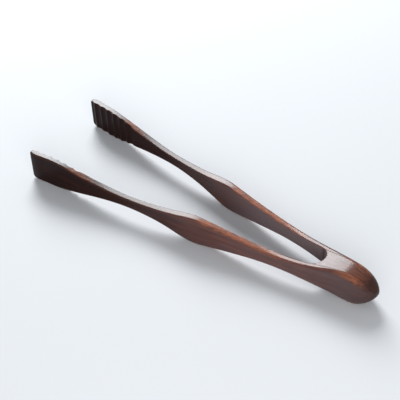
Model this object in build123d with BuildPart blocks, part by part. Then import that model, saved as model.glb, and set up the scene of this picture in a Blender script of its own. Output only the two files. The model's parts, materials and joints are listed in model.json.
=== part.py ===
from build123d import *
from math import atan, cos, sin
import os

# Wooden ice tongs: a wedge-shaped head block with one springy wooden arm glued to each side.
# The arms splay into a V, swell into a leaf-shaped belly for the fingers, thin down to a neck and
# end in tall square tips with round grooves cut across their inner faces.
# X runs along the tongs (head at +X, tips at -X), Y across them, Z up; Z = 0 is the table.
# A "station" is a distance from the tail end of the head, measured along the tongs.

os.makedirs("parts", exist_ok=True)

# ---- driving dimensions, mm ----
LENGTH = 240.0  # tail of the head to the ends of the tips
MIDDLE_HEIGHT = 11.4  # height of the arms' middle plane when the tongs lie on the table
TALLEST = 10.4  # height of the tips' and the head's tops above that plane

# inner faces of the arms: straight strips that leave the wedge at this splay
INNER_AT_TAIL = 2.7  # half gap the glue planes would have at the tail
SPLAY = 0.104  # sideways spread of each inner face per mm of length
SLOT_APEX = 37.2  # station where the gap between the arms begins
STRAIGHT_END = 112.0  # station where the inner face starts to hollow away

# the bending zone of each arm is a hinge, with a round knuckle as wide as the arm
HINGE_STATION = 64.0
HINGE_OUTER = 13.5  # half width over the outer faces there
KNUCKLE_PLAY = 0.05  # running clearance around the knuckle
SOCKET_SETBACK = 1.0  # the socket's lips stop this far short of the hinge line

# grooves across the inner face of each tip
GROOVES = 7
GROOVE_PITCH = 5.55
GROOVE_DEPTH = 0.9
LAST_GROOVE = 239.0  # station of the outermost groove, open at the tip's end

RIM = 0.8  # rounding of the rims along the gap

TIP_TOP_CORNER = 1.5  # rounding of the tips' ends, seen from the side
TIP_BOTTOM_CORNER = 2.2

# outer envelope of both arms together: station, half width, height above and depth below the
# middle plane, corner radius
SECTIONS = [
    (0.0, 1.4, 1.2, 1.2, 1.1),  # tail
    (0.8, 2.8, 2.6, 2.7, 2.3),
    (2.5, 4.6, 4.5, 4.9, 3.6),
    (5.5, 6.3, 6.9, 7.7, 4.4),
    (9.5, 7.4, 8.8, 10.1, 4.6),
    (14.0, 7.8, 10.0, 11.6, 4.2),  # deepest part of the head
    (19.0, 7.9, 10.4, 11.5, 3.6),
    (27.0, 8.4, 9.8, 10.0, 2.9),
    (36.0, 9.9, 7.8, 7.9, 2.2),
    (48.0, 11.6, 5.7, 5.9, 1.6),
    (60.0, 13.1, 4.8, 4.9, 1.5),  # waist of the grip
    (76.0, 14.9, 5.2, 5.4, 1.5),
    (92.0, 16.6, 6.5, 7.6, 1.5),
    (108.0, 18.6, 8.1, 10.0, 1.5),
    (115.0, 19.5, 8.8, 11.0, 1.5),
    (119.5, 20.0, 9.0, 11.25, 1.5),  # widest part of the belly
    (124.0, 20.5, 8.5, 10.8, 1.4),
    (130.0, 21.2, 7.4, 9.2, 1.3),
    (139.0, 22.0, 5.7, 6.5, 1.2),
    (152.0, 23.2, 4.3, 4.2, 1.0),
    (167.0, 24.7, 3.7, 3.4, 1.0),  # neck
    (182.0, 26.4, 4.6, 4.5, 1.0),
    (200.0, 28.3, 7.2, 7.6, 1.0),
    (213.0, 29.3, 9.4, 10.2, 1.0),
    (224.0, 30.2, 10.4, 11.2, 1.0),  # tips
    (240.0, 31.5, 10.4, 11.3, 1.0),
]

# inner face past the straight stretch: station, half gap
HOLLOW = [(139.0, 17.6), (164.0, 20.8), (184.0, 22.8)]
TIP_START = 203.0  # the inner face is straight again from here to the end of the tip
CREST_GAP = 24.7  # half gap there
TIP_HALF_GAP = 27.4  # half gap at the ends of the tips, over the crests

REACH = 60.0  # larger than anything across the tongs, for trimming blocks


def x_at(station):
    return LENGTH / 2 - station


def straight_gap(station):
    return INNER_AT_TAIL + SPLAY * station


def front(station, half_width):
    """A point of the front arm's outline, in the plan view."""
    return (x_at(station), -half_width)


def crest_gap(station):
    """Half gap over the crests between the grooves."""
    along = (station - TIP_START) / (LENGTH - TIP_START)
    return CREST_GAP + along * (TIP_HALF_GAP - CREST_GAP)


# a groove's circle meets the crests at half a pitch either side of its deepest line
groove_radius = ((GROOVE_PITCH / 2) ** 2 + GROOVE_DEPTH**2) / (2 * GROOVE_DEPTH)
groove_offset = groove_radius - GROOVE_DEPTH

# the hinge stands in the middle of the arm's thickness, and its plane follows the arm
hinge_y = -(straight_gap(HINGE_STATION) + HINGE_OUTER) / 2
knuckle_radius = (HINGE_OUTER - straight_gap(HINGE_STATION)) / 2 * cos(atan(SPLAY))
hinge_plane = Plane(
    origin=(x_at(HINGE_STATION), hinge_y, -1),
    x_dir=(-1, -SPLAY, 0),
    z_dir=(0, 0, 1),
)

# the whole tongs as one carved shape, cut into its pieces afterwards
with BuildPart() as tongs_blank:
    # the outside of the tongs, lofted from the tail to the tips
    for station, half_width, above, below, corner in SECTIONS:
        middle = MIDDLE_HEIGHT + (above - below) / 2
        with BuildSketch(Plane(origin=(x_at(station), 0, middle), x_dir=(0, 1, 0), z_dir=(1, 0, 0))):
            RectangleRounded(2 * half_width, above + below, corner)
    loft()
    # seen from the side, the head's bottom is trimmed level with the table and the tips' ends are rounded
    with BuildSketch(Plane.XZ) as side_view:
        full_height = MIDDLE_HEIGHT + TALLEST
        with Locations((LENGTH / 2, full_height / 2)):
            Rectangle(2 * LENGTH, full_height)
        tip_corners = side_view.vertices().group_by(Axis.X)[0].sort_by(Axis.Y)
        fillet(tip_corners[0], TIP_BOTTOM_CORNER)
        tip_corners = side_view.vertices().group_by(Axis.X)[0].sort_by(Axis.Y)
        fillet(tip_corners[-1], TIP_TOP_CORNER)
    extrude(amount=REACH, both=True, mode=Mode.INTERSECT)
    # the V-shaped gap between the arms, closed by the hollow end of the wedge
    with BuildSketch(Plane.XY.offset(-1)) as gap:
        with BuildLine():
            lean = atan(SPLAY)
            slot_radius = straight_gap(SLOT_APEX) * cos(lean) / (1 - sin(lean))
            arc_end = SLOT_APEX + slot_radius * (1 - sin(lean))
            slot = ThreePointArc(
                front(arc_end, straight_gap(arc_end)),
                front(SLOT_APEX, 0),
                front(arc_end, -straight_gap(arc_end)),
            )
            ends = []
            for side, start in ((1, slot @ 0), (-1, slot @ 1)):
                strip = Line(start, front(STRAIGHT_END, side * straight_gap(STRAIGHT_END)))
                tip = Line(front(TIP_START, side * CREST_GAP), front(LENGTH + 1, side * TIP_HALF_GAP))
                hollow = [front(station, side * half_gap) for station, half_gap in HOLLOW]
                Spline(strip @ 1, *hollow, tip @ 0, tangents=[strip % 1, tip % 0])
                ends.append(tip @ 1)
            Line(*ends)
        make_face()
    extrude(amount=2 * MIDDLE_HEIGHT + 2, mode=Mode.SUBTRACT)
    rims = tongs_blank.edges(Select.LAST).filter_by(Axis.Z, reverse=True)
    fillet(rims, RIM)
    # round grooves across the inner faces of the tips, leaving a crest between each two
    with BuildSketch(Plane.XY.offset(-1)) as grooves:
        for number in range(GROOVES):
            station = LAST_GROOVE - number * GROOVE_PITCH
            for side in (1, -1):
                with Locations(front(station, side * (crest_gap(station) - groove_offset))):
                    Circle(groove_radius)
    extrude(amount=2 * MIDDLE_HEIGHT + 2, mode=Mode.SUBTRACT)

# the glued head: everything between the two glue planes, behind the gap
with BuildPart() as head_wedge:
    add(tongs_blank.part)
    with BuildSketch(Plane.XY.offset(-1)):
        with BuildLine():
            Polyline(
                front(-1, straight_gap(-1)),
                front(HINGE_STATION, straight_gap(HINGE_STATION)),
                front(HINGE_STATION, -straight_gap(HINGE_STATION)),
                front(-1, -straight_gap(-1)),
                close=True,
            )
        make_face()
    extrude(amount=2 * MIDDLE_HEIGHT + 2, mode=Mode.INTERSECT)

# the front arm from the tail to its bending zone, glued to the wedge
with BuildPart() as front_arm_root:
    add(tongs_blank.part)
    with BuildSketch(Plane.XY.offset(-1)):
        with BuildLine():
            Polyline(
                front(-1, straight_gap(-1)),
                front(HINGE_STATION, straight_gap(HINGE_STATION)),
                front(HINGE_STATION, REACH),
                front(-1, REACH),
                close=True,
            )
        make_face()
    extrude(amount=2 * MIDDLE_HEIGHT + 2, mode=Mode.INTERSECT)
    # socket for the knuckle, with its lips set back from the hinge line
    with BuildSketch(hinge_plane):
        Circle(knuckle_radius + KNUCKLE_PLAY)
        with Locations((REACH / 2 - SOCKET_SETBACK, 0)):
            Rectangle(REACH, REACH)
    extrude(amount=2 * MIDDLE_HEIGHT + 2, mode=Mode.SUBTRACT)

# the rest of the front arm, which swings in when squeezed
with BuildPart() as front_arm:
    add(tongs_blank.part)
    with BuildSketch(hinge_plane):
        Circle(knuckle_radius)
        with Locations((LENGTH / 2, 0)):
            Rectangle(LENGTH, REACH / 2)
    extrude(amount=2 * MIDDLE_HEIGHT + 2, mode=Mode.INTERSECT)

with BuildPart() as rear_arm_root:
    add(mirror(front_arm_root.part, about=Plane.XZ))

with BuildPart() as rear_arm:
    add(mirror(front_arm.part, about=Plane.XZ))

head_wedge.part.label = "head_wedge"
front_arm_root.part.label = "front_arm_root"
front_arm.part.label = "front_arm"
rear_arm_root.part.label = "rear_arm_root"
rear_arm.part.label = "rear_arm"

export_step(head_wedge.part, "parts/head_wedge.step")
export_step(front_arm_root.part, "parts/front_arm_root.step")
export_step(front_arm.part, "parts/front_arm.step")
export_step(rear_arm_root.part, "parts/rear_arm_root.step")
export_step(rear_arm.part, "parts/rear_arm.step")

for piece in (head_wedge, front_arm_root, front_arm, rear_arm_root, rear_arm):
    print(piece.part.label, piece.part.is_valid, len(piece.solids()), round(piece.part.volume, 1))
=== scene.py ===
"""Wooden ice tongs: two springy arms glued to a wedge-shaped head, in dark lacquered wood.

Each arm is one continuous piece of wood, unbroken where the CAD model has its hinge. A "station" is a
distance from the tail end of the head, measured along the tongs in millimetres; meshes are in metres.
"""

import json
import math

import bpy
import numpy as np
from mathutils import Matrix, Quaternion, Vector
from mathutils.bvhtree import BVHTree


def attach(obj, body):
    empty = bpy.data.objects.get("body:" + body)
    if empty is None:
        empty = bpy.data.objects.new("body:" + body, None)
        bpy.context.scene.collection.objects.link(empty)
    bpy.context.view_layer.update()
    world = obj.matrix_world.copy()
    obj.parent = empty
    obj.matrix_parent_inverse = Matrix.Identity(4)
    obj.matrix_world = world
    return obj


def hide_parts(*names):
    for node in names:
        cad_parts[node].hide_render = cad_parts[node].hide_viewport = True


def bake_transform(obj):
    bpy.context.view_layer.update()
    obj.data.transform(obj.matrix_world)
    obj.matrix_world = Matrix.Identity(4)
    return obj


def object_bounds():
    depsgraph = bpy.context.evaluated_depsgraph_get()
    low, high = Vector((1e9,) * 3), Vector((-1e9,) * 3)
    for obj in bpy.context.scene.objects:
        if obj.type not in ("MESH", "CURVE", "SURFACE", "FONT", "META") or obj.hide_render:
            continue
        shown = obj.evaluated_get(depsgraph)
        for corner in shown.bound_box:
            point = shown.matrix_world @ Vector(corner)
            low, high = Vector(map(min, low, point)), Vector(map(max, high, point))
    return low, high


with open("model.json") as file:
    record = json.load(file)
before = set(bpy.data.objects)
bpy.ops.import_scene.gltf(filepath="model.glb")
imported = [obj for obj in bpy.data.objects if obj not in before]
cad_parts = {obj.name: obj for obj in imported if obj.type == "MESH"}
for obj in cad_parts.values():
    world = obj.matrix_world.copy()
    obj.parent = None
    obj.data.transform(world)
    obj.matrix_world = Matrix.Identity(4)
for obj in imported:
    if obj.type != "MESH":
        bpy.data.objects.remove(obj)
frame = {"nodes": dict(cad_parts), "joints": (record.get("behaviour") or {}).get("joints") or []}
cad_low, cad_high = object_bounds()

hinges = {joint["child"]: joint for joint in frame["joints"]}

MM = 0.001
MID_Z = hinges["rear_arm"]["pos_m"][2]  # the middle plane that both arms lie along
LENGTH = (cad_high.x - cad_low.x) / MM

# ---- sizes the frame doesn't name, mm ----
RIM = 0.8  # rounding of the rims along the gap and around the tips' ends
TIP_RIM = 0.45  # the rims along the gap are sharper from the neck on
RIM_CHANGE = (122, 142)  # stations between which they sharpen
GROOVE_RIM = 0.3  # and this much sharper still in a groove
GLUE_RIM = 0.12  # tiny rounding either side of a glue line
GLUE_RIM_START = 1.5  # station where the wedge's begins
TIP_TOP_CORNER = 1.5  # rounding of the tips' ends, seen from the side
TIP_BOTTOM_CORNER = 2.2
GROOVES = 7
GROOVE_PITCH = 5.55
GROOVE_DEPTH = 0.9
GROOVE_RADIUS = ((GROOVE_PITCH / 2) ** 2 + GROOVE_DEPTH**2) / (2 * GROOVE_DEPTH)
LAST_GROOVE = LENGTH - 1.0  # station of the outermost groove
CREST_WEAR = 0.35  # half length of the worn crest between two grooves
NOSE = 0.3  # length of the small dome that the tail ends in
NOSE_END = 0.4  # its flat end, as a share of its width
THINNEST = 0.25  # least height of the wedge above the middle plane, and depth below it
BOW_START = 12.0  # station where the wedge's rows of points begin to curve towards the slot's round wall

# rounding of the outer edges: station, radius
OUTER_CORNER = [(0, 1.1), (0.8, 2.3), (2.5, 3.6), (5.5, 4.4), (9.5, 4.6), (14, 4.2), (19, 3.6), (27, 2.9)]
OUTER_CORNER += [(36, 2.2), (48, 1.6), (60, 1.5), (112, 1.5), (130, 0.9), (152, 0.7), (LENGTH, 0.7)]

# ---- stations where the outline is read off the frame, clear of the hinge's knuckle ----
RAY_START = 0.1  # rays start this far from the middle, in metres
WEDGE_END = 35.0  # the wedge's top reaches at least this far
STRAIGHT = (50, 100)  # two stations where the inner faces are straight
OUTLINE_STATIONS = (
    [0.02, 0.8, 1.6, 2.5, 4.0, 5.5, 7.5, 9.5, 11.5, 14, 19, 23, 27, 31, 34, 38, 42, 48, 54, 60, 68, 76]
    + [84, 92, 100, 108, 112, 115, 117.5, 119.5, 121.5, 124, 127, 130, 134, 139, 145.5, 152, 159.5]
    + [167, 174.5, 182, 191, 200, 206.5, 213, 218.5, 224, 230, 236]
)
END_STATION = LENGTH - 0.02  # the outer faces can be read off right to the end
HOLLOW_STATIONS = [112, 120, 128, 139, 150, 164, 174, 184, 194, 202]
# the crests stand halfway between the grooves
CREST_STATIONS = [LAST_GROOVE - GROOVE_PITCH * k for k in (0.5, GROOVES - 1.5)]
FIRST_CREST = LAST_GROOVE - GROOVE_PITCH * (GROOVES - 0.5)

# ---- mesh density ----
RIM_STEPS = 6
FLAT_STEPS = 6
CORNER_STEPS = 8
# on a narrow edge: the most of it that the rim's points take, the least of the rest that the flat's take,
# and where the corner's start at the latest
RIM_SHARE, FLAT_SHARE, CORNER_SHARE = 0.3, 0.25, 0.7
SIDE_STEPS = 22
TIP_STEPS = 8
GROOVE_STEPS = 14
WEDGE_COLUMNS = 36
WALL_STEPS = 60  # rounds in which the wedge's columns find the slot's round wall
ARM_TAIL = [0.86, 1.0, 1.2, 1.5, 1.9]  # stations; an arm starts where it is wider than the wedge
# then evenly spaced: from, to, step
ARM_STRETCHES = [(2.4, 12, 0.5), (12, 40, 0.8), (40, 46, 0.3), (46, FIRST_CREST - 0.5, 1.0)]
WEDGE_TAIL = [0, 0.01, 0.03, 0.06, 0.10, 0.16, 0.23, NOSE, 0.4, 0.6, 0.8, 1.1, 1.5, 2.0, 2.6]
WEDGE_EVEN, WEDGE_STEP = 3.2, 0.7  # station where even steps begin, and their length
WEDGE_RIM_START = 1.2  # how far short of the slot they end

# ---- by station: how the finish has aged, where reflection is painted, and the wood's tone ----
DULL_STRETCH = (100, 185)  # stations between which the broad faces lose their gloss
DULLNESS = 0.92
GLEAM_STRETCH = (206, 222)  # stations between which the tips' tops gain more
GLEAM = 0.4
LEVEL_ENOUGH = 0.7  # a surface whose normal rises this much keeps all its gloss
# how far the arms' tops and bottoms are rubbed through: station, amount
HANDLED = [(5, 0), (11, 0.85), (21, 0.8), (28, 0.15), (50, 0.15), (64, 0.8), (112, 0.9), (119, 0.1)]
HANDLED += [(190, 0.1), (199, 0.7), (207, 0.7), (214, 0)]
WEDGE_HANDLED = 0.45  # the wedge's, as a share of that
# painted reflection, a pale grey haze, on the faces round the slot and on the outer faces: station, amount
SLOT_PAINTED_REFLECTION = [(25, 0), (35, 0.75), (90, 0.75), (122, 0)]
OUTER_PAINTED_REFLECTION = [(0, 0.15), (20, 0.25), (80, 0.2), (105, 0)]
# how much of its colour the wood keeps, darkest at the tips and darker at the tail: share of the length,
# amount
TONE_ALONG = ((0.0, 0.40), (0.10, 0.65), (0.22, 0.85), (0.38, 1.0), (0.50, 0.80), (0.60, 0.45), (0.75, 0.20))
TONE_ALONG += ((1.0, 0.16),)

# ---- wood colours ----
DARK = (0.060, 0.025, 0.022)
BROWN = (0.138, 0.056, 0.046)
RUSSET = (0.28, 0.105, 0.065)
WORN = (0.46, 0.15, 0.065)
GREYED = (0.100, 0.058, 0.062)
# painted reflection: a pale grey put on the faces round the slot in place of the bright surroundings they
# mirror
PAINTED_REFLECTION_GREY = (0.165, 0.126, 0.133)

# ---- wood patterns: changes per mm along the grain and across it, detail and roughness of the noise ----
WANDER = (0.012, 0.10, 2.0, 0.55)
STREAKS = (0.018, 0.55, 5.0, 0.62)
FIBRES = (0.07, 4.5, 4.0, 0.60)
PORES = (0.30, 7.0, 2.0, 0.50)
GREY_CAST = (0.022, 0.09, 3.0, 0.60)
PATCHES = (0.22, 0.9, 5.0, 0.65)
FILM = (0.05, 0.5, 3.0, 0.55)
# what the noise is turned into: value of the noise, amount or colour
PORE_RAMP = ((0.60, 0.0), (0.72, 1.0))
TONE_RAMP = ((0.22, DARK), (0.52, BROWN), (0.85, RUSSET))
GREY_RAMP = ((0.42, 0.0), (0.62, 0.6))
PATCH_RAMP = ((0.38, 0.25), (0.60, 1.0))
GLOSS_RAMP = ((0.3, 0.26), (0.7, 0.38))
RINGS_PER_MM = 0.55
RING_WANDER = 7.0
STREAK_SHARE, BAND_SHARE, FIBRE_SHARE, TONE_SHIFT = 0.62, 0.09, 0.26, 0.03
PORE_DARKNESS = 0.55
WORN_RIMS = 0.25  # how far the rims are rubbed
RUBBED_THROUGH = 0.6  # share of the worn colour where the wood is rubbed most

# ---- lacquer ----
FIBRE_RELIEF, PORE_RELIEF = 0.5, 0.8  # how far each stands out of the wood, or is cut into it
FILM_RELIEF, WOOD_RELIEF = 0.5, 0.25  # waves of the lacquer's own, and how far it follows the wood
FILM_GLOSS, FIBRE_GLOSS = 0.6, 0.4  # how far each varies the gloss
SPECULAR = 0.03
COAT = 0.46
COAT_ROUGHNESS = 0.15
WOOD_BUMP = (0.5, 0.00008)  # strength, and height in metres
LACQUER_BUMP = (0.35, 0.00006)

# ---- studio ----
FLOOR_REACH = 6.0  # half the floor's width, in metres
FLOOR_GAP = 0.0001
FLOOR_COLOUR = (0.66, 0.67, 0.69, 1)
FLOOR_ROUGHNESS = 0.9
SKY_COLOUR = (0.92, 0.96, 1.0, 1)
SKY_STRENGTH = 0.38

# ---- camera, in degrees and metres, the lens and sensor in mm ----
CAMERA_AZIMUTH = 41.06
CAMERA_ELEVATION = 44.04
CAMERA_ROLL = -4.60
CAMERA_DISTANCE = 0.9756
CAMERA_AIM = Vector((-0.0115, 0.0033, 0))  # from the middle of the tongs
CAMERA_LENS = 143.73
SENSOR_WIDTH = 36.0


# ======================================================================== shape read off the frame


def x_at(station):
    return cad_high.x - station * MM


def frame_tree(*nodes):
    """The CAD nodes as one tree for casting rays at."""
    vertices, polygons = [], []
    for name in nodes:
        mesh = frame["nodes"][name].data
        first = len(vertices)
        vertices += [v.co.copy() for v in mesh.vertices]
        polygons += [[first + i for i in p.vertices] for p in mesh.polygons]
    return BVHTree.FromPolygons(vertices, polygons)


ARM_NODES = ("rear_arm_root", "rear_arm")
arm_tree = frame_tree(*ARM_NODES)
whole_tree = frame_tree("head_wedge", *ARM_NODES)


def cast(tree, origin, direction):
    hit = tree.ray_cast(Vector(origin), Vector(direction))[0]
    if hit is None:
        raise RuntimeError(f"the frame has nothing to measure from {origin} along {direction}")
    return hit


def measure_outer(station):
    return cast(whole_tree, (x_at(station), RAY_START, MID_Z), (0, -1, 0)).y / MM


def measure_inner(station):
    return cast(arm_tree, (x_at(station), 0, MID_Z), (0, 1, 0)).y / MM


def measure_height(station, side):
    """Height of the top (side 1) or depth of the bottom (side -1) from the middle plane."""
    across = 0 if station < WEDGE_END else (measure_inner(station) + measure_outer(station)) / 2 * MM
    return abs(cast(whole_tree, (x_at(station), across, RAY_START * side), (0, 0, -side)).z - MID_Z) / MM


def spline(stations, values, start_slope=None, end_slope=None):
    """A smooth cubic curve through the values. An end has the slope given, or no curvature."""
    x, y = np.array(stations, float), np.array(values, float)
    h, n = np.diff(x), len(x)
    rise = np.diff(y) / h
    a, b = np.zeros((n, n)), np.zeros(n)
    for i in range(1, n - 1):
        a[i, i - 1 : i + 2] = h[i - 1], 2 * (h[i - 1] + h[i]), h[i]
        b[i] = 6 * (rise[i] - rise[i - 1])
    a[0, 0] = a[-1, -1] = 1
    if start_slope is not None:
        a[0, :2], b[0] = (2 * h[0], h[0]), 6 * (rise[0] - start_slope)
    if end_slope is not None:
        a[-1, -2:], b[-1] = (h[-1], 2 * h[-1]), 6 * (end_slope - rise[-1])
    m = np.linalg.solve(a, b)

    def curve(at):
        at = np.asarray(at, float)
        i = np.clip(np.searchsorted(x, at) - 1, 0, n - 2)
        left, right = at - x[i], x[i + 1] - at
        return (
            (m[i] * right**3 + m[i + 1] * left**3) / (6 * h[i])
            + (y[i] / h[i] - m[i] * h[i] / 6) * right
            + (y[i + 1] / h[i] - m[i + 1] * h[i] / 6) * left
        )

    return curve


outer_stations = OUTLINE_STATIONS + [END_STATION]
outer = spline(outer_stations, [measure_outer(s) for s in outer_stations])
above = spline(OUTLINE_STATIONS, [measure_height(s, 1) for s in OUTLINE_STATIONS])
below = spline(OUTLINE_STATIONS, [measure_height(s, -1) for s in OUTLINE_STATIONS])

# the arms' inner faces leave the wedge as straight strips
SPLAY = (measure_inner(STRAIGHT[1]) - measure_inner(STRAIGHT[0])) / (STRAIGHT[1] - STRAIGHT[0])
GAP_AT_TAIL = measure_inner(STRAIGHT[0]) - STRAIGHT[0] * SPLAY
# they hollow away towards the tips, whose crests lie on a straight line
CREST_GAPS = [measure_inner(s) for s in CREST_STATIONS]
CREST_SLOPE = (CREST_GAPS[0] - CREST_GAPS[1]) / (CREST_STATIONS[0] - CREST_STATIONS[1])
hollow = spline(
    HOLLOW_STATIONS, [measure_inner(s) for s in HOLLOW_STATIONS], start_slope=SPLAY, end_slope=CREST_SLOPE
)
# the slot ends in a round wall that is tangent to both inner faces
SLOT_APEX = (cad_high.x - cast(whole_tree, (x_at(STRAIGHT[0]), 0, MID_Z), (1, 0, 0)).x) / MM
LEAN = math.atan(SPLAY)
SLOT_RADIUS = (GAP_AT_TAIL + SPLAY * SLOT_APEX) * math.cos(LEAN) / (1 - math.sin(LEAN))
SLOT_CENTRE = SLOT_APEX + SLOT_RADIUS
SLOT_TANGENT = SLOT_CENTRE - SLOT_RADIUS * math.sin(LEAN)


def depth(station):
    """Depth of the bottom below the middle plane, down to the table at most."""
    return np.minimum(below(station), MID_Z / MM)


def corner_radius(station):
    return np.interp(station, *zip(*OUTER_CORNER))


def straight_gap(station):
    return GAP_AT_TAIL + SPLAY * np.asarray(station, float)


def crest_gap(station):
    return CREST_GAPS[0] + CREST_SLOPE * (np.asarray(station, float) - CREST_STATIONS[0])


def groove_cut(station):
    """How far a groove is cut into the tip's inner face, with the crests between grooves worn round."""
    station = np.asarray(station, float)
    number = np.clip(np.round((LAST_GROOVE - station) / GROOVE_PITCH), 0, GROOVES - 1)
    off = np.abs(station - (LAST_GROOVE - number * GROOVE_PITCH))

    def arc(distance):
        return np.sqrt(GROOVE_RADIUS**2 - distance**2) - (GROOVE_RADIUS - GROOVE_DEPTH)

    edge = GROOVE_PITCH / 2 - CREST_WEAR
    slope = -edge / math.sqrt(GROOVE_RADIUS**2 - edge**2)
    into = np.clip((off - edge) / CREST_WEAR, 0, 1)
    worn = arc(edge) + slope * CREST_WEAR * (into - into**2 / 2)
    inward = station < LAST_GROOVE - (GROOVES - 1) * GROOVE_PITCH  # past the first groove there is no crest
    cut = np.where((off > edge) & ~inward, worn, arc(np.minimum(off, GROOVE_PITCH / 2)))
    return np.where(station < FIRST_CREST, 0, np.maximum(cut, 0))


def inner(station):
    """Half gap between the arms, grooves included; along the wedge it is the glue plane."""
    s = np.asarray(station, float)
    start, end = HOLLOW_STATIONS[0], HOLLOW_STATIONS[-1]
    smooth = np.where(s < start, straight_gap(s), hollow(np.clip(s, start, end)))
    return np.where(s < end, smooth, crest_gap(s) + groove_cut(s))


def rounding(distance, radius):
    """How far a rounded rim lies below the flat, at this distance from its edge."""
    inside = np.clip(radius - distance, 0, radius)
    return radius - np.sqrt(np.maximum(radius**2 - inside**2, 0))


def slot_distance(station, across):
    """Distance from the slot's round wall, outside it."""
    return np.hypot(SLOT_CENTRE - station, across) - SLOT_RADIUS


# ======================================================================== meshes


def point(station, across, height):
    """A point of the row frame, in metres."""
    station, across, height = np.broadcast_arrays(station, across, height)
    return np.stack([x_at(station), across * MM, MID_Z + height * MM], axis=-1)


def blend_between(first, last, steps):
    """Rows of points from first to last, both included."""
    t = np.linspace(0, 1, steps + 1)[:, None]
    return first * (1 - t) + last * t


def patch(ring, columns, rows):
    """A grid of points that fills a ring, from the ring's own four sides."""
    top = ring[: columns + 1]
    right = ring[columns : columns + rows + 1]
    bottom = ring[columns + rows : 2 * columns + rows + 1][::-1]
    left = np.vstack([ring[2 * columns + rows :], ring[:1]])[::-1]
    u = np.linspace(0, 1, columns + 1)[:, None, None]
    v = np.linspace(0, 1, rows + 1)[None, :, None]
    edges = (1 - v) * top[:, None] + v * bottom[:, None] + (1 - u) * left[None] + u * right[None]
    upper = (1 - u) * (1 - v) * top[0] + u * (1 - v) * top[-1]
    lower = (1 - u) * v * bottom[0] + u * v * bottom[-1]
    return edges - (upper + lower)


def skin(name, top, bottom, rows, mirror=False):
    """A closed piece of quads. top and bottom hold its upper and lower surface as [station][column] points;
    straight walls join their long edges, and a patch closes each end."""
    stations, columns = top.shape[0], top.shape[1] - 1
    rings = []
    for upper, lower in zip(top, bottom):
        near = blend_between(upper[-1], lower[-1], rows)
        far = blend_between(lower[0], upper[0], rows)
        rings.append(np.vstack([upper, near[1:-1], lower[::-1], far[1:-1]]))
    around = len(rings[0])
    points = np.vstack(rings)
    faces = []
    for i in range(stations - 1):
        for k in range(around):
            a, b = i * around + k, i * around + (k + 1) % around
            faces.append((a, b, b + around, a + around))
    for end in (0, stations - 1):
        base = end * around
        grid = patch(rings[end], columns, rows)
        index = np.full((columns + 1, rows + 1), -1)
        index[:, 0] = base + np.arange(columns + 1)
        index[-1, :] = base + columns + np.arange(rows + 1)
        index[:, -1] = (base + columns + rows + np.arange(columns + 1))[::-1]
        index[0, :] = np.append(base + 2 * columns + rows + np.arange(rows), base)[::-1]
        count = len(points)
        index[1:-1, 1:-1] = count + np.arange((columns - 1) * (rows - 1)).reshape(columns - 1, rows - 1)
        points = np.vstack([points, grid[1:-1, 1:-1].reshape(-1, 3)])
        for j in range(columns):
            for k in range(rows):
                quad = (index[j, k], index[j, k + 1], index[j + 1, k + 1], index[j + 1, k])
                faces.append(quad if end == 0 else quad[::-1])
    if mirror:
        points = points * (1, -1, 1)
        faces = [f[::-1] for f in faces]
    mesh = bpy.data.meshes.new(name)
    mesh.from_pydata(points.tolist(), [], [[int(i) for i in f] for f in faces])
    mesh.validate()
    mesh.shade_smooth()
    piece = bpy.data.objects.new(name, mesh)
    bpy.context.scene.collection.objects.link(piece)
    return piece


def arm_stations():
    """Stations of one arm's cross-sections: close together at the tail, over the grooves and at the end."""
    stretches = [np.arange(start, end, step) for start, end, step in ARM_STRETCHES]
    steps = int(round((LENGTH - RIM - FIRST_CREST) / (GROOVE_PITCH / GROOVE_STEPS)))
    grooves = np.linspace(FIRST_CREST, LENGTH - RIM, steps + 1)
    end = LENGTH - RIM * (1 - np.sin(np.linspace(0, math.pi / 2, TIP_STEPS + 1)[1:]))
    return np.concatenate([ARM_TAIL, *stretches, grooves, end])


def arm_edge(station, height, end_corner):
    """Upper or lower edge of an arm's cross-section, as (across, height from the middle plane), from its
    inner face round to its outer one. height is that of its flat, and end_corner rounds the tip's end."""
    from_end = LENGTH - station
    inset = float(rounding(from_end, RIM))
    width = float(outer(station)) - inset
    height = float(height) - float(rounding(from_end, end_corner))
    start = float(inner(station))
    if inset > 0:
        start = max(start, float(crest_gap(station)) + inset)
    radius = float(corner_radius(station))
    flat = width - radius - start
    turn = math.asin(min(max(-flat / radius, 0), 1))  # the glue plane may cut into the corner
    flat = max(flat, 0)
    total = flat + radius * (math.pi / 2 - turn)
    cut = float(groove_cut(station)) / GROOVE_DEPTH
    rim = float(np.interp(station, RIM_CHANGE, (RIM, TIP_RIM))) - cut * GROOVE_RIM
    rim_end = min(rim, RIM_SHARE * total)
    corner_start = min(max(flat, rim_end + FLAT_SHARE * (total - rim_end)), CORNER_SHARE * total)
    quarter = np.linspace(0, math.pi / 2, RIM_STEPS + 1)
    along = np.concatenate(
        [
            rim_end * (1 - np.cos(quarter)),
            np.linspace(rim_end, corner_start, FLAT_STEPS + 1)[1:],
            np.linspace(corner_start, total, CORNER_STEPS + 1)[1:],
        ]
    )
    angle = turn + np.maximum(along - flat, 0) / radius
    across = np.where(along < flat, start + along, width - radius + radius * np.sin(angle))
    up = np.where(along < flat, height, height - radius + radius * np.cos(angle))
    if station < SLOT_TANGENT:
        up = up - rounding(slot_distance(station, across), RIM) - rounding(along, GLUE_RIM)
    else:
        up = up - rounding(along, rim)
    return across, up


def make_arm(name, mirror):
    top, bottom = [], []
    for station in arm_stations():
        across, up = arm_edge(station, above(station), TIP_TOP_CORNER)
        top.append(point(station, across, up))
        across, down = arm_edge(station, depth(station), TIP_BOTTOM_CORNER)
        bottom.append(point(station, across, -down))
    return skin(name, np.array(top), np.array(bottom), SIDE_STEPS, mirror=mirror)


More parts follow.
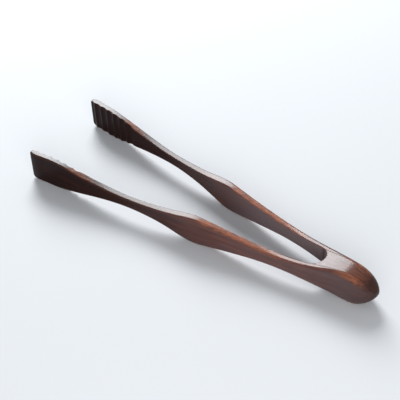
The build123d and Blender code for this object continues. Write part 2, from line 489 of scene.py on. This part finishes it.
def make_wedge(name):
    """The glued wedge: from the rounded tail to the slot's round wall."""
    rim_stations = SLOT_APEX - RIM * (1 - np.sin(np.linspace(0, math.pi / 2, TIP_STEPS + 1)))
    even = np.arange(WEDGE_EVEN, SLOT_APEX - WEDGE_RIM_START, WEDGE_STEP)
    middle = np.concatenate([WEDGE_TAIL, even, rim_stations])
    v = np.sin(np.linspace(-math.pi / 2, math.pi / 2, WEDGE_COLUMNS + 1))
    # where each column meets the round wall
    end = np.full(len(v), SLOT_APEX)
    for _ in range(WALL_STEPS):
        across = v * straight_gap(end)
        end = SLOT_CENTRE - np.sqrt(np.maximum(SLOT_RADIUS**2 - across**2, 0))
        end = np.minimum(end, SLOT_TANGENT)
    bow = np.clip((middle - BOW_START) / (SLOT_APEX - BOW_START), 0, 1) ** 2
    station = middle[:, None] + bow[:, None] * (end - SLOT_APEX)[None]
    half = np.minimum(straight_gap(station), outer(station))
    across = half * v[None]
    radius = corner_radius(station)
    into = np.clip(np.abs(across) - (outer(station) - radius), 0, radius)
    corner = radius - np.sqrt(radius**2 - into**2)
    rims = rounding(slot_distance(station, across), RIM)
    rims = rims + rounding(half - np.abs(across), GLUE_RIM) * (station > GLUE_RIM_START)
    # the very end is a small dome
    dome = NOSE_END + (1 - NOSE_END) * np.sqrt(1 - np.clip(1 - middle / NOSE, 0, 1) ** 2)[:, None]
    top = point(station, dome * across, dome * np.maximum(above(station) - corner - rims, THINNEST))
    bottom = point(station, dome * across, -dome * np.maximum(depth(station) - corner - rims, THINNEST))
    return skin(name, top, bottom, SIDE_STEPS)


# ======================================================================== wood


def store(piece, name, kind, values):
    attribute = piece.data.attributes.new(name, kind, "POINT")
    key = "vector" if kind == "FLOAT_VECTOR" else "value"
    attribute.data.foreach_set(key, np.asarray(values, np.float32).ravel())


def read_vectors(items, key):
    flat = np.empty(len(items) * 3, np.float32)
    items.foreach_get(key, flat)
    return flat.reshape(-1, 3).astype(float)


def mark_wood(piece, board):
    """Stores each point's place in its board (along the grain, through the board, up, in mm), how the
    finish has aged there and how much painted reflection it gets. board is -1 for the front arm, 1 for the
    rear one and
    0 for the wedge. The grain runs along the straight strip that an arm is cut from, and straight down the
    wedge."""
    co = read_vectors(piece.data.vertices, "co")
    along = (cad_high.x - co[:, 0]) / MM
    side, up = co[:, 1] / MM, (co[:, 2] - MID_Z) / MM
    through = side - np.sign(board) * straight_gap(along) if board else side
    store(piece, "wood", "FLOAT_VECTOR", np.stack([along, through, up], axis=1))
    # wear: points on a rim stand near both the top or bottom and a side wall
    flat = np.where(up > 0, above(along), depth(along))
    across = np.abs(side)
    if board:
        wall = np.minimum(np.abs(outer(along) - across), np.abs(across - inner(along)))
        wall = np.where(along < SLOT_TANGENT, np.abs(outer(along) - across), wall)
    else:
        wall = np.abs(slot_distance(along, across))
    store(piece, "wear", "FLOAT", np.exp(-(((flat - np.abs(up)) / RIM) ** 2) - (wall / RIM) ** 2))
    normals = read_vectors(piece.data.vertex_normals, "vector")
    level = np.clip(np.abs(normals[:, 2]) / LEVEL_ENOUGH, 0, 1)
    # the lacquer has slowly gone dull on the broad faces towards the tips, but not on the top and bottom
    dull = np.interp(along, DULL_STRETCH, (0, 1))
    dull = dull**2 * (3 - 2 * dull)
    gleam = GLEAM * level**2 * np.interp(along, GLEAM_STRETCH, (0, 1))
    store(piece, "lacquer", "FLOAT", 1 - DULLNESS * (1 - level) * dull + gleam)
    # the narrow tops and bottoms are rubbed lighter where hands and cups touch them, the wedge's least
    rubbed = level**2 * np.interp(along, *zip(*HANDLED))
    store(piece, "handled", "FLOAT", rubbed if board else rubbed * WEDGE_HANDLED)
    # painted reflection: the faces round the slot get a pale grey haze in place of the bright surroundings
    # they mirror, and the outer faces less
    inward = -np.sign(board) * normals[:, 1] if board else -normals[:, 0]
    painted_reflection = np.clip(inward, 0, 1) ** 2 * np.interp(along, *zip(*SLOT_PAINTED_REFLECTION))
    painted_reflection += np.clip(-inward, 0, 1) ** 2 * np.interp(along, *zip(*OUTER_PAINTED_REFLECTION)) * abs(board)
    store(piece, "painted_reflection", "FLOAT", painted_reflection)


class Graph:
    """Builds one material's nodes. An input is a constant or another node's output."""

    def __init__(self, name):
        self.material = bpy.data.materials.new(name)
        self.material.use_nodes = True
        self.tree = self.material.node_tree
        self.tree.nodes.clear()

    def add(self, kind, inputs=(), output=0, **settings):
        node = self.tree.nodes.new("ShaderNode" + kind)
        for key, value in settings.items():
            setattr(node, key, value)
        for key, value in dict(inputs).items():
            socket = node.inputs[key]
            if isinstance(value, bpy.types.NodeSocket):
                self.tree.links.new(value, socket)
            else:
                socket.default_value = value
        return node.outputs[output] if node.outputs else None

    def math(self, operation, a, b=0.0, c=0.0):
        return self.add("Math", {0: a, 1: b, 2: c}, operation=operation)

    def stored(self, name, output="Fac"):
        return self.add("Attribute", output=output, attribute_name=name)

    def noise(self, vector, pattern, shift):
        """Noise stretched along the grain, the first axis of vector."""
        along, across, detail, roughness = pattern
        scale = (along, across, across)
        vector = self.add("Mapping", {"Vector": vector, "Scale": scale, "Location": shift})
        inputs = {"Vector": vector, "Scale": 1.0, "Detail": detail, "Roughness": roughness}
        return self.add("TexNoise", inputs)

    def ramp(self, factor, *stops, mode="EASE"):
        """Maps factor from 0 to 1 through (position, value or colour) stops."""
        node = self.tree.nodes.new("ShaderNodeValToRGB")
        self.tree.links.new(factor, node.inputs[0])
        node.color_ramp.interpolation = mode
        elements = node.color_ramp.elements
        while len(elements) < len(stops):
            elements.new(0.5)
        for element, (position, value) in zip(elements, stops):
            colour = (value,) * 3 if isinstance(value, (int, float)) else value
            element.position, element.color = position, (*colour, 1)
        return node.outputs[0]

    def mix(self, factor, a, b, blend="MIX"):
        node = self.tree.nodes.new("ShaderNodeMix")
        node.data_type, node.blend_type = "RGBA", blend
        # inputs 6 and 7 are the two colours, and output 2 their mix
        for socket, value in ((node.inputs[0], factor), (node.inputs[6], a), (node.inputs[7], b)):
            if isinstance(value, bpy.types.NodeSocket):
                self.tree.links.new(value, socket)
            else:
                socket.default_value = value if isinstance(value, float) else (*value, 1)
        return node.outputs[2]


def lacquered_wood(name, shift):
    """Stained straight-grained hardwood under satin lacquer. shift picks another part of the timber."""
    g = Graph(name)
    wood = g.stored("wood", output="Vector")
    wear, lacquer, handled, painted_reflection = [g.stored(key) for key in ("wear", "lacquer", "handled", "painted_reflection")]
    # growth rings cut lengthwise: bands a few mm apart that wander slowly along the board
    wander = g.noise(wood, WANDER, shift)
    through = g.add("SeparateXYZ", {0: wood}, output=1)
    rings = g.math("MULTIPLY", wander, RING_WANDER)
    rings = g.math("ADD", g.math("MULTIPLY", through, RINGS_PER_MM), rings)
    bands = g.math("SINE", g.math("MULTIPLY", rings, 2 * math.pi))
    bands = g.math("MULTIPLY_ADD", bands, 0.5, 0.5)
    # streaks, fibres and pores, ever finer across the grain and long along it
    streaks = g.noise(wood, STREAKS, shift)
    fibres = g.noise(wood, FIBRES, shift)
    pores = g.ramp(g.noise(wood, PORES, shift), *PORE_RAMP)
    tone = g.math("MULTIPLY_ADD", streaks, STREAK_SHARE, g.math("MULTIPLY", bands, BAND_SHARE))
    tone = g.math("MULTIPLY_ADD", fibres, FIBRE_SHARE, tone)
    tone = g.math("SUBTRACT", tone, TONE_SHIFT)
    colour = g.ramp(tone, *TONE_RAMP, mode="B_SPLINE")
    # here and there the finish has a cooler, greyer cast
    grey = g.ramp(g.noise(wood, GREY_CAST, shift), *GREY_RAMP)
    colour = g.mix(grey, colour, GREYED)
    # darkest at the tips and darker at the tail, lightest a little over a third of the way from the tail
    along = g.add("SeparateXYZ", {0: wood}, output=0)
    tone_along = g.ramp(g.math("DIVIDE", along, LENGTH), *TONE_ALONG)
    colour = g.mix(1.0, colour, tone_along, blend="MULTIPLY")
    colour = g.mix(g.math("MULTIPLY", pores, PORE_DARKNESS), colour, DARK)
    # painted reflection: the pale grey haze laid over the wood's colour
    colour = g.mix(painted_reflection, colour, PAINTED_REFLECTION_GREY)
    # handled edges show the lighter wood through the stain
    patchy = g.ramp(g.noise(wood, PATCHES, shift), *PATCH_RAMP)
    rubbed = g.math("MAXIMUM", g.math("MULTIPLY", wear, WORN_RIMS), handled)
    rubbed = g.math("MULTIPLY", rubbed, patchy)
    colour = g.mix(g.math("MULTIPLY", rubbed, RUBBED_THROUGH), colour, WORN)
    # lacquer: nearly level over the fibres, dipping a little into the pores
    relief = g.math("MULTIPLY", fibres, FIBRE_RELIEF)
    relief = g.math("SUBTRACT", relief, g.math("MULTIPLY", pores, PORE_RELIEF))
    film = g.noise(wood, FILM, shift)
    soft = g.math("MULTIPLY_ADD", film, FILM_RELIEF, g.math("MULTIPLY", relief, WOOD_RELIEF))
    under, over = [
        g.add("Bump", {"Strength": strength, "Distance": distance, "Height": height})
        for (strength, distance), height in ((WOOD_BUMP, relief), (LACQUER_BUMP, soft))
    ]
    gloss = g.math("MULTIPLY_ADD", film, FILM_GLOSS, g.math("MULTIPLY", fibres, FIBRE_GLOSS))
    shader = g.add(
        "BsdfPrincipled",
        {
            "Base Color": colour,
            "Roughness": g.ramp(gloss, *GLOSS_RAMP),
            "Normal": under,
            "Specular IOR Level": SPECULAR,
            "Coat Weight": g.math("MULTIPLY", lacquer, COAT),
            "Coat Roughness": COAT_ROUGHNESS,
            "Coat Normal": over,
        },
    )
    g.add("OutputMaterial", {"Surface": shader})
    return g.material


# ======================================================================== the tongs


def add_arm(name, body, root, board, material):
    piece = make_arm(name, mirror=board < 0)
    mark_wood(piece, board)
    piece.data.materials.append(material)
    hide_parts(root, body)
    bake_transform(piece)


arm_wood = lacquered_wood("arm_wood", shift=(3.1, 1.7, 0.4))
wedge_wood = lacquered_wood("wedge_wood", shift=(11.3, 5.2, 8.8))

add_arm("front_arm_strip", "front_arm", "front_arm_root", -1, arm_wood)
add_arm("rear_arm_strip", "rear_arm", "rear_arm_root", 1, arm_wood)

wedge = make_wedge("glued_wedge")
mark_wood(wedge, 0)
wedge.data.materials.append(wedge_wood)
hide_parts("head_wedge")
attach(wedge, "head")


# ======================================================================== floor, light and camera


def make_floor():
    mesh = bpy.data.meshes.new("floor")
    corners = [(x * FLOOR_REACH, y * FLOOR_REACH, 0) for x, y in ((-1, -1), (1, -1), (1, 1), (-1, 1))]
    mesh.from_pydata(corners, [], [(0, 1, 2, 3)])
    floor = bpy.data.objects.new("floor", mesh)
    bpy.context.scene.collection.objects.link(floor)
    floor.location.z = cad_low.z - FLOOR_GAP
    g = Graph("pale_floor")
    shader = g.add("BsdfPrincipled", {"Base Color": FLOOR_COLOUR, "Roughness": FLOOR_ROUGHNESS})
    g.add("OutputMaterial", {"Surface": shader})
    mesh.materials.append(g.material)


def softbox(name, direction, lengthwise, distance, size, power, colour=(1, 1, 1)):
    """An area light that faces the middle of the tongs. size is its width, along lengthwise, and height."""
    light = bpy.data.lights.new(name, "AREA")
    light.shape = "RECTANGLE"
    light.size, light.size_y = size
    light.energy, light.color = power, colour
    lamp = bpy.data.objects.new(name, light)
    bpy.context.scene.collection.objects.link(lamp)
    back = Vector(direction).normalized()
    lamp.location = Vector((0, 0, MID_Z)) + back * distance
    upright = back.cross(Vector(lengthwise)).normalized()
    wide = upright.cross(back)
    lamp.rotation_mode = "QUATERNION"
    lamp.rotation_quaternion = Matrix((wide, upright, back)).transposed().to_quaternion()
    return lamp


def make_camera():
    azimuth, elevation = math.radians(CAMERA_AZIMUTH), math.radians(CAMERA_ELEVATION)
    level_x, level_y = math.sin(azimuth), -math.cos(azimuth)
    back = Vector((level_x * math.cos(elevation), level_y * math.cos(elevation), math.sin(elevation)))
    data = bpy.data.cameras.new("camera")
    data.lens, data.sensor_width = CAMERA_LENS, SENSOR_WIDTH
    camera = bpy.data.objects.new("camera", data)
    bpy.context.scene.collection.objects.link(camera)
    camera.rotation_mode = "QUATERNION"
    level = (-back).to_track_quat("-Z", "Y")
    camera.rotation_quaternion = Quaternion(back, math.radians(CAMERA_ROLL)) @ level
    camera.location = Vector((0, 0, MID_Z)) + CAMERA_AIM + back * CAMERA_DISTANCE
    bpy.context.scene.camera = camera


def make_sky():
    world = bpy.data.worlds.new("studio")
    world.use_nodes = True
    background = world.node_tree.nodes["Background"]
    background.inputs["Color"].default_value = SKY_COLOUR
    background.inputs["Strength"].default_value = SKY_STRENGTH
    bpy.context.scene.world = world


make_floor()
# a broad box behind the tips, mirrored by the tops of the tips, the necks and the head
softbox(
    "key",
    direction=(-0.612, 0.541, 0.577),
    lengthwise=(-0.686, 0, -0.728),
    distance=1.2,
    size=(0.80, 0.50),
    power=20.5,
    colour=(0.95, 0.98, 1.0),
)
# a weaker one lights the front faces, and shows in none of them
fill = softbox(
    "fill", direction=(0.75, -0.85, 0.55), lengthwise=(1, 0.9, 0), distance=0.7, size=(0.5, 0.4), power=2.6
)
fill.visible_glossy = False
make_camera()
make_sky()
bpy.context.scene.view_settings.view_transform = "Standard"
